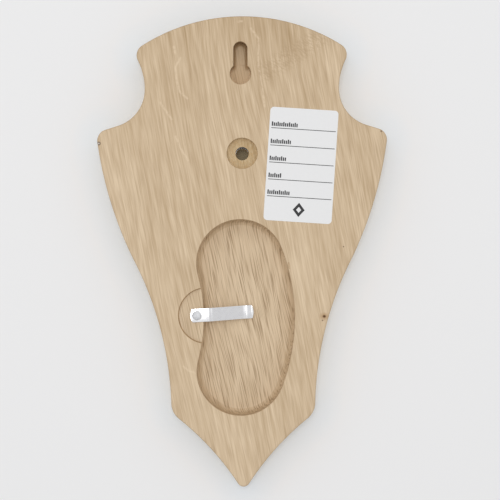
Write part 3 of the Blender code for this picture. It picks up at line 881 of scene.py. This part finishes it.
def grain(f):
    """Adds to x how far a fibre has moved sideways: the sum `across` is the same all along a fibre."""
    x, y, z = f.place()
    drop = f.maths("SUBTRACT", CROWN, z)

    def past(start, ease):
        """0, then a = drop - start, joined smoothly: (a + sqrt(a * a + ease * ease)) / 2."""
        over = f.add(drop, -start)
        return f.times(f.add(over, f.maths("SQRT", f.add(f.times(over, over), ease * ease))), 0.5)

    lean = f.add(f.times(drop, 0.085), f.times(past(15.0, 25.0), 0.1))
    bell = f.maths("EXPONENT", f.times(f.maths("POWER", f.times(f.add(x, -4.0), 1 / 34.0), 2.0), -1.0))
    middle = f.times(f.times(past(110.0, 30.0), 0.035), bell)
    wander = f.cloud((0.03, 0.03, 0.012), 1.0)
    wave = f.cloud((0.11, 0.1, 0.045), 1.0)
    across = f.add(f.add(x, lean), f.add(middle, f.add(f.times(wander, 3.2), f.times(wave, 0.75))))
    return across, x, y, z, drop, f.vector(x, drop, 0.0)


# %% [markdown]
# ## Oak: marks of its own
# A few things on this board are in one place only: light ray flecks that wander across the grain, a
# small knot by one edge, a nail's mark on a shoulder and a rough patch near the crown. Each is a
# mask, made from the distance to a short line or to a point.

# %% Places of the marks, in millimetres across and down from the crown
RAY_FLECKS = [
    [(31.8, 21.6), (34.3, 26.3), (33.8, 33.2), (32.1, 39.0), (28.2, 42.5)],
    [(42.6, 44.2), (39.4, 48.9), (36.4, 53.2)],
    [(34.3, 62.2), (32.2, 67.5), (30.4, 70.7), (28.0, 74.4)],
    [(35.1, 15.8), (34.5, 19.2)],
    [(-4.9, 6.5), (-8.7, 11.7), (-8.6, 26.7), (-10.7, 37.1), (-11.7, 46.9)],
    [(1.8, 2.9), (-0.3, 2.7)],
    [(30.7, 181.0), (28.0, 183.5), (25.0, 184.5)],
]
KNOT = (-42.1, 155.5)
NAIL_MARK = (74.1, 65.6)
SPECKS = [((-72.0, 59.9), 0.55), ((-52.2, 119.5), 0.4), ((-41.2, 157.6), 0.45)]
TEAR_OUT = [(-12.5, 28.5), (-40.0, 11.5)]
print(sum(len(path) - 1 for path in RAY_FLECKS), "fleck strokes")


def from_line(f, flat, start, end):
    """Distance to a stroke: |v - d * t|, v from its start, d its length, t = v.d / d.d held to 0..1."""
    d = np.array(end) - np.array(start)
    ahead = (*d, 0.0)
    v = f.vectors("SUBTRACT", flat, (*start, 0.0))
    t = f.maths("DIVIDE", f.vectors("DOT_PRODUCT", v, ahead), d @ d, clamp=True)
    return f.vectors("LENGTH", f.vectors("SUBTRACT", v, f.vectors("SCALE", ahead, t)))


def from_point(f, flat, point):
    """Distance to a point."""
    return f.vectors("LENGTH", f.vectors("SUBTRACT", flat, (*point, 0.0)))


def between(f, value, low, high):
    """1 from low to high and 0 beyond them, with each edge 0.4 wide."""
    return f.times(f.ramp(value, low - 0.4, low), f.ramp(value, high, high + 0.4, 1.0, 0.0))


def ray_flecks(f, flat):
    """The brightest of all strokes at this place, broken up by noise."""
    marks = 0.0
    for path in RAY_FLECKS:
        for start, end in zip(path[:-1], path[1:]):
            marks = f.maths("MAXIMUM", marks, f.ramp(from_line(f, flat, start, end), 0.0, 1.0, 1.0, 0.0))
    broken = f.noise(f.vectors("SCALE", flat, 0.6), 2.0)
    return f.times(marks, f.ramp(broken, 0.3, 0.6, 0.25, 1.0))


# %% [markdown]
# ## Oak: putting it together
# Four widths of streak add up to the tone, from broad bands down to single fibres, and short dark
# pores go on top. Planing closes the pores of the flat back, but the router left them open on the
# recess floor. Cut walls are darker and browner than planed faces, end grain most of all, partly as
# the wood's own colour and partly as painted shade. Painted shade also darkens the foot of the
# recess's wall, the run under the keyhole's lip, the skull screw's bore and the clip pocket's rim.

# %% Oak


def cut_colour_and_painted_shade(f, flat, y, z, colour):
    """Cut walls by their own normal and holes by their place: walls darker and browner, partly own colour
    and partly painted shade; painted shade at the recess's cove, under the keyhole's lip, in the bore and at
    the pocket's rim; a paler keyhole inside; the washer seat's own mottle.
    """
    _, facing, upward = f.coordinate("Normal")
    # partly painted shade: steep cut walls are darker and browner, end grain most of all, partly as the cut
    # grain's own colour and partly as shade painted on the walls
    steep = f.ramp(f.maths("ABSOLUTE", facing), 0.55, 0.985, 1.0, 0.0)
    end_grain_and_shade = f.times(steep, f.maths("POWER", upward, 2.0))
    colour = f.mix(f.times(steep, 0.3), colour, srgb(222, 214, 202), "MULTIPLY")
    colour = f.mix(f.times(end_grain_and_shade, 0.35), colour, srgb(196, 182, 160), "MULTIPLY")
    # painted shade: the foot of the recess's wall, where it rounds into the floor, is darkened
    cove_painted_shade = f.times(f.ramp(facing, 0.25, 0.75), f.ramp(facing, 0.95, 0.995, 1.0, 0.0))
    cove_painted_shade = f.times(cove_painted_shade, f.ramp(y, -3.5, -2.0, 1.0, 0.0))
    colour = f.mix(f.times(cove_painted_shade, 0.5), colour, srgb(226, 217, 204), "MULTIPLY")
    entry_drop = CROWN - KEYHOLE_ENTRY[1]
    hang_drop = entry_drop - KEYHOLE_TRAVEL
    slot = from_line(f, flat, (KEYHOLE_ENTRY[0], entry_drop), (KEYHOLE_ENTRY[0], hang_drop))
    inside = f.times(f.ramp(slot, 5.6, 5.8, 1.0, 0.0), between(f, y, KEYHOLE_FLOOR - 0.6, -2.6))
    colour = f.mix(f.times(inside, 0.35), colour, srgb(232, 202, 160))
    # painted shade: the floor of the keyhole's run beside the neck, under the lip, is darkened
    under_lip_painted_shade = f.times(f.ramp(slot, 1.7, 2.9), f.ramp(z, KEYHOLE_ENTRY[1] + 1.5, KEYHOLE_ENTRY[1] + 4.5))
    colour = f.mix(f.times(under_lip_painted_shade, inside), colour, srgb(204, 190, 170), "MULTIPLY")
    from_screw = from_point(f, flat, (0.0, CROWN - SKULL_HOLE[1]))
    bore_edge = f.ramp(from_screw, SKULL_HOLE_RADIUS + 0.05, SKULL_HOLE_RADIUS + 0.15, 1.0, 0.0)
    # painted shade: the skull screw's bore is darkened from below the washer seat to the front
    bore_painted_shade = f.times(bore_edge, between(f, y, 0.5 - THICKNESS, -3.5))
    colour = f.mix(bore_painted_shade, colour, srgb(118, 104, 88), "MULTIPLY")
    from_pin = from_point(f, flat, (POCKET[0], CROWN - POCKET[1]))
    # painted shade: a thin dark line along the clip pocket's rim and wall
    rim = f.ramp(from_pin, POCKET_RADIUS - 0.5, POCKET_RADIUS - 0.3)
    rim = f.times(rim, f.ramp(from_pin, POCKET_RADIUS + 0.1, POCKET_RADIUS + 0.2, 1.0, 0.0))
    rim = f.times(rim, f.ramp(y, -POCKET_DEPTH - 0.2, -POCKET_DEPTH - 0.1))
    colour = f.mix(rim, colour, srgb(222, 210, 194), "MULTIPLY")
    blot = f.cloud((0.9, 0.9, 0.6))
    seat = f.ramp(from_screw, WASHER_SEAT_RADIUS, WASHER_SEAT_RADIUS + 0.1, 1.0, 0.0)
    seat = f.times(seat, between(f, y, -WASHER_SEAT_DEPTH - 0.2, -1.5))
    colour = f.mix(f.times(seat, 0.5), colour, srgb(198, 175, 132))
    return f.mix(f.times(seat, f.ramp(blot, 0.2, 0.75)), colour, srgb(243, 234, 219), "MULTIPLY")


def own_marks(f, flat, x, y, drop, colour):
    """Flecks, knot, nail mark, specks and the rough patch, on the back face only."""
    surface = f.ramp(y, -1.2, -0.6)

    def paint(mask, red, green, blue):
        nonlocal colour
        colour = f.mix(f.times(mask, surface), colour, srgb(red, green, blue))

    paint(f.times(ray_flecks(f, flat), 0.44), 238, 216, 186)
    for place, size in SPECKS:
        away = from_point(f, flat, place)
        paint(f.ramp(away, size * 0.4, size * 1.3, 0.75, 0.0), 96, 68, 44)
    knot = f.vectors("SUBTRACT", flat, (*KNOT, 0.0))
    knot_away = f.vectors("LENGTH", f.vectors("MULTIPLY", knot, (0.8, 1.0, 0.0)))
    paint(f.ramp(knot_away, 0.6, 2.6, 0.5, 0.0), 160, 116, 66)
    paint(f.ramp(knot_away, 0.35, 0.95, 0.95, 0.0), 84, 54, 22)
    nail = from_point(f, flat, NAIL_MARK)
    paint(f.times(f.ramp(nail, 0.15, 0.5), f.ramp(nail, 0.7, 1.25, 0.8, 0.0)), 96, 78, 66)
    paint(f.ramp(nail, 0.1, 0.55, 0.8, 0.0), 232, 226, 220)
    rough = f.ramp(from_line(f, flat, *TEAR_OUT), 2.0, 8.0, 1.0, 0.0)
    along = f.add(f.times(x, 0.7), f.times(drop, 0.9))
    over = f.add(f.times(drop, 0.3), f.times(x, -0.22))
    chatter = f.noise(f.vector(along, over, 0.0), 2.0, 0.6)
    paint(f.times(rough, f.ramp(chatter, 0.43, 0.6, 0.0, 0.36)), 168, 142, 108)
    return colour


def oak_finish():
    """Tone = a slow drift + the sum of (noise - 0.5) * weight over four widths, then pores and marks."""
    f = Finish("pale_oak")
    across, x, y, z, drop, flat = grain(f)
    # routed is 1 on the walls and floors that a router cut, and 0 on planed faces
    spine = from_line(f, flat, (0.0, 46.0), (1.2, 186.0))
    routed = f.times(f.ramp(spine, 33.0, 35.0, 1.0, 0.0), between(f, y, -RECESS_DEPTH - 0.7, -1.5))
    routed = f.times(routed, f.ramp(y, -3.2, -1.5, 1.0, 0.5))
    slanted = f.add(across, f.times(y, f.add(f.times(routed, -1.3), 1.8)))

    def streaks(width, depth, length, detail=1.0, rough=0.5):
        place = f.vector(f.times(slanted, 1 / width), f.times(y, 0.5 / depth), f.times(z, 1 / length))
        return f.noise(place, detail, rough)

    # the slow drift makes the tone darker towards the crown
    tone = f.add(f.ramp(drop, 0.0, 30.0, 0.36, 0.48), f.ramp(drop, 30.0, 150.0, 0.0, 0.08))
    planed = f.add(f.times(routed, -0.7), 1.0)
    tone = f.add(tone, f.times(routed, 0.14))
    for width, length, weight in ((15.0, 110.0, 0.36), (4.4, 52.0, 0.44), (1.9, 26.0, 0.66)):
        streak = f.times(f.add(streaks(width, 3.0 * width, length), -0.5), weight)
        tone = f.add(tone, f.times(streak, planed))
    tone = f.add(tone, f.times(f.add(streaks(0.85, 2.5, 15.0), -0.5), 0.76))
    base = f.mix(f.maths("ADD", tone, 0.0, clamp=True), srgb(175, 148, 112), srgb(231, 209, 178))
    rings = streaks(3.1, 9.0, 80.0)
    pores = streaks(0.5, 0.9, 13.0, 0.7)
    dashes = f.times(f.ramp(pores, 0.45, 0.76), f.ramp(rings, 0.7, 0.4, 0.7, 1.0))
    open_pores = f.add(f.times(routed, 0.5), 0.22)
    colour = f.mix(f.times(dashes, open_pores), base, srgb(142, 114, 82))
    colour = cut_colour_and_painted_shade(f, flat, y, z, colour)
    colour = own_marks(f, flat, x, y, drop, colour)
    fibres = streaks(0.6, 1.2, 18.0, 2.0)
    height = f.add(f.times(fibres, 0.5), f.times(dashes, -0.5))
    return f.set(
        Base_Color=colour,
        Roughness=f.add(f.times(fibres, 0.15), 0.55),
        Normal=f.bump(height, 0.5, 0.0001),
        Specular_IOR_Level=0.3,
    )


oak = oak_finish()
oak_board.data.materials.append(oak)
print("oak:", len(oak.node_tree.nodes), "nodes")

# %% [markdown]
# ## Metal, paper and ink
# The clip is bright rolled aluminium: nearly mirror-like, with fine rolling lines along its length
# that blur it one way. The pin is duller. The paper is smooth and slightly satin, and its ink is
# plain black.

# %% Metal, paper and ink


def aluminium_finish():
    """Bright metal with rolling lines: noise stretched along X, which is nearly the strip's length."""
    f = Finish("rolled_aluminium")
    lines = f.cloud((0.08, 2.0, 9.0), 3.0, 0.6)
    cloud = f.cloud((0.5, 0.5, 0.5))
    rough = f.add(f.times(lines, 0.16), f.add(f.times(cloud, 0.1), 0.16))
    return f.set(
        Base_Color=f.mix(cloud, srgb(240, 240, 243), srgb(255, 255, 255)),
        Metallic=1.0,
        Roughness=rough,
        Normal=f.bump(lines, 0.25, 0.00002),
    )


def pin_finish():
    """Dull plated steel with small clouds in its tone."""
    f = Finish("plated_steel")
    cloud = f.cloud((1.1, 1.1, 1.1))
    colour = f.mix(f.ramp(cloud, 0.35, 0.65), srgb(212, 213, 215), srgb(232, 233, 234))
    return f.set(Base_Color=colour, Metallic=1.0, Roughness=f.add(f.times(cloud, 0.2), 0.5))


def paper_finish():
    """White sticker paper with a faint mottle."""
    f = Finish("sticker_paper")
    colour = f.mix(f.cloud((0.6, 0.6, 0.6), 3.0), srgb(229, 229, 229), srgb(233, 233, 233))
    return f.set(Base_Color=colour, Roughness=0.5, Specular_IOR_Level=0.35)


def ink_finish():
    """Black print."""
    f = Finish("black_ink")
    colour = f.mix(f.cloud((3.0, 3.0, 3.0)), srgb(26, 26, 28), srgb(44, 44, 46))
    return f.set(Base_Color=colour, Roughness=0.55)


clip_strip.data.materials.append(aluminium_finish())
domed_pin.data.materials.append(pin_finish())
paper_label.data.materials.append(paper_finish())
paper_label.data.materials.append(ink_finish())
print("finishes:", [m.name for m in bpy.data.materials if m.users])

# %% [markdown]
# ## Each piece on its body
# The board, the pin and the label stay still, and the clip swivels. Each fine piece stands for its
# node of the imported model, which is hidden.

# %% Ride and replace
for piece, node, body, slot in (
    (oak_board, "plaque", "board", "oak"),
    (clip_strip, "jaw_clip", "clip", "clip_aluminium"),
    (domed_pin, "clip_pin", "board", "pin_steel"),
    (paper_label, "record_label", "board", "label_paper"),
):
    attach(piece, body)
    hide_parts(node)
    print(piece.name, "stands for", node)

# %% [markdown]
# ## The surface behind the plaque
# In the photograph the plaque lies face down on a pale surface. Here it is upright, as it hangs, so
# that surface is an upright sheet against its front. It is seen from the camera's side only, so
# that the front of the plaque can be looked at too. It has a window where the front rests on it,
# because light would be caught between the two and come out orange. A disc of it stays behind the
# skull screw's hole, where it shows, in the brown of the shade down there. Close to the board the
# sheet is a little cooler, because in the photograph the wood's warm glow on it came out grey.

# %% Pale sheet


def one_sided_finish():
    """Matt and pale on the side that its normal points to, and nothing at all from behind. Cooler near the
    board against the wood's warm glow, and a brown disc of painted shade behind the skull screw's hole.
    """
    f = Finish("pale_sheet")
    cool_tint_and_shade = f.node("Attribute")
    cool_tint_and_shade.attribute_name = "cool_tint_and_shade"
    # painted colour against light: the sheet is cooler near the board, to cancel the wood's warm glow
    pale = f.mix(cool_tint_and_shade.outputs["Fac"], srgb(239, 239, 239), srgb(232, 238, 243))
    # painted shade: where the attribute is -1, the disc behind the skull screw's hole is brown
    pale = f.mix(f.ramp(cool_tint_and_shade.outputs["Fac"], -1.0, 0.0, 1.0, 0.0), pale, srgb(196, 178, 144))
    f.set(Base_Color=pale, Roughness=0.9, Specular_IOR_Level=0.1)
    clear = f.node("BsdfTransparent")
    choose = f.node("MixShader")
    side = f.node("NewGeometry").outputs["Backfacing"]
    f.link(side, choose.inputs[0])
    f.link(f.shader.outputs[0], choose.inputs[1])
    f.link(clear.outputs[0], choose.inputs[2])
    f.link(choose.outputs[0], f.tree.nodes["Material Output"].inputs["Surface"])
    return f.material


SHEET_Y = -THICKNESS - 0.2
SHEET_HALF = 2000.0
WINDOW_INSET = 9.0
ISLAND_RADIUS = 6.0
square = SHEET_HALF * np.array([[-1.0, -1.0], [1.0, -1.0], [1.0, 1.0], [-1.0, 1.0]])
COOL_RINGS = [(16.0, 0.0), (11.0, 0.35), (6.0, 0.7), (2.5, 0.95), (0.0, 0.85)]
window = shield_outline(WINDOW_INSET)
island = circle_outline(SKULL_HOLE, ISLAND_RADIUS, 48)(0.0)
rings = [shield_outline(-reach) for reach, _ in COOL_RINGS]
points, faces, sources = planar_pieces(square, [window, island, *rings])
kept = [face[::-1] for face, source in zip(faces, sources) if 1 not in source or 2 in source]
cool_tint_and_shade = [0.0] * (len(square) + len(window)) + [-1.0] * len(island)
for ring, (_, amount) in zip(rings, COOL_RINGS):
    cool_tint_and_shade += [amount] * len(ring)
sheet_mesh = bpy.data.meshes.new("pale_sheet")
sheet_mesh.from_pydata((np.insert(points, 1, SHEET_Y, axis=1) / 1000.0).tolist(), [], kept)
sheet_mesh.attributes.new("cool_tint_and_shade", "FLOAT", "POINT").data.foreach_set("value", cool_tint_and_shade)
pale_sheet = add_object("pale_sheet", sheet_mesh)
sheet_mesh.materials.append(one_sided_finish())
pale_sheet.visible_shadow = False
print("sheet's normal:", tuple(round(v) for v in sheet_mesh.polygons[0].normal))

# %% [markdown]
# ## Light and camera
# The photograph has very soft light. Most of it comes evenly from all round, which leaves a faint
# dark halo beside the board and a band along each wall of the recess. A wide panel and a small one
# near the camera add the rest, and another panel lights the front for the other views. The camera
# looks straight at the back from three quarters of a metre, slightly off centre, and rolled a
# quarter of a degree.

# %% Lights
WORLD_LIGHT = 0.68
WIDE_PANEL_POWER = 3.0
NEAR_PANEL_POWER = 2.3
FRONT_PANEL_POWER = 9.5


def panel(name, place, size, power):
    """A square area light at place, turned towards the middle of the plaque."""
    light = bpy.data.lights.new(name, "AREA")
    light.size = size
    light.energy = power
    made = add_object(name, light)
    made.location = place
    made.rotation_euler = (Vector((0, 0, -0.07)) - Vector(place)).to_track_quat("-Z", "Y").to_euler()
    return made


wide_panel = panel("wide_panel", (0.1, 1.1, 0.3), 1.4, WIDE_PANEL_POWER)
wide_panel.visible_glossy = False
panel("near_panel", (0.035, 1.15, 0.04), 0.25, NEAR_PANEL_POWER)
panel("front_panel", (-0.1, -1.1, 0.1), 0.8, FRONT_PANEL_POWER)
world = bpy.data.worlds.new("soft_room")
world.use_nodes = True
world.node_tree.nodes["Background"].inputs["Color"].default_value = srgb(250, 250, 251)
world.node_tree.nodes["Background"].inputs["Strength"].default_value = WORLD_LIGHT
bpy.context.scene.world = world
bpy.context.scene.view_settings.view_transform = "Standard"

# %% Camera
IMAGE_PIXELS = 500
MM_PER_PIXEL = 0.517
CAMERA_DISTANCE = 0.75
AXIS_PIXEL_X = 242.58
CROWN_PIXEL_Y = 15.91
CAMERA_ROLL = math.radians(0.26)

camera_x = -(IMAGE_PIXELS / 2 - AXIS_PIXEL_X) * MM_PER_PIXEL / 1000
camera_z = CROWN_Z - (IMAGE_PIXELS / 2 - CROWN_PIXEL_Y) * MM_PER_PIXEL / 1000
camera = add_object("camera", bpy.data.cameras.new("camera"))
right = Vector((-math.cos(CAMERA_ROLL), 0.0, -math.sin(CAMERA_ROLL)))
up = Vector((-math.sin(CAMERA_ROLL), 0.0, math.cos(CAMERA_ROLL)))
turn = Matrix((right, up, right.cross(up))).transposed()
camera.matrix_world = Matrix.Translation((camera_x, CAMERA_DISTANCE, camera_z)) @ turn.to_4x4()
camera.data.lens = camera.data.sensor_width * CAMERA_DISTANCE / (IMAGE_PIXELS * MM_PER_PIXEL / 1000)
bpy.context.scene.camera = camera
print("lens", round(camera.data.lens, 1), "mm")

# %% Update the scene
bpy.context.view_layer.update()
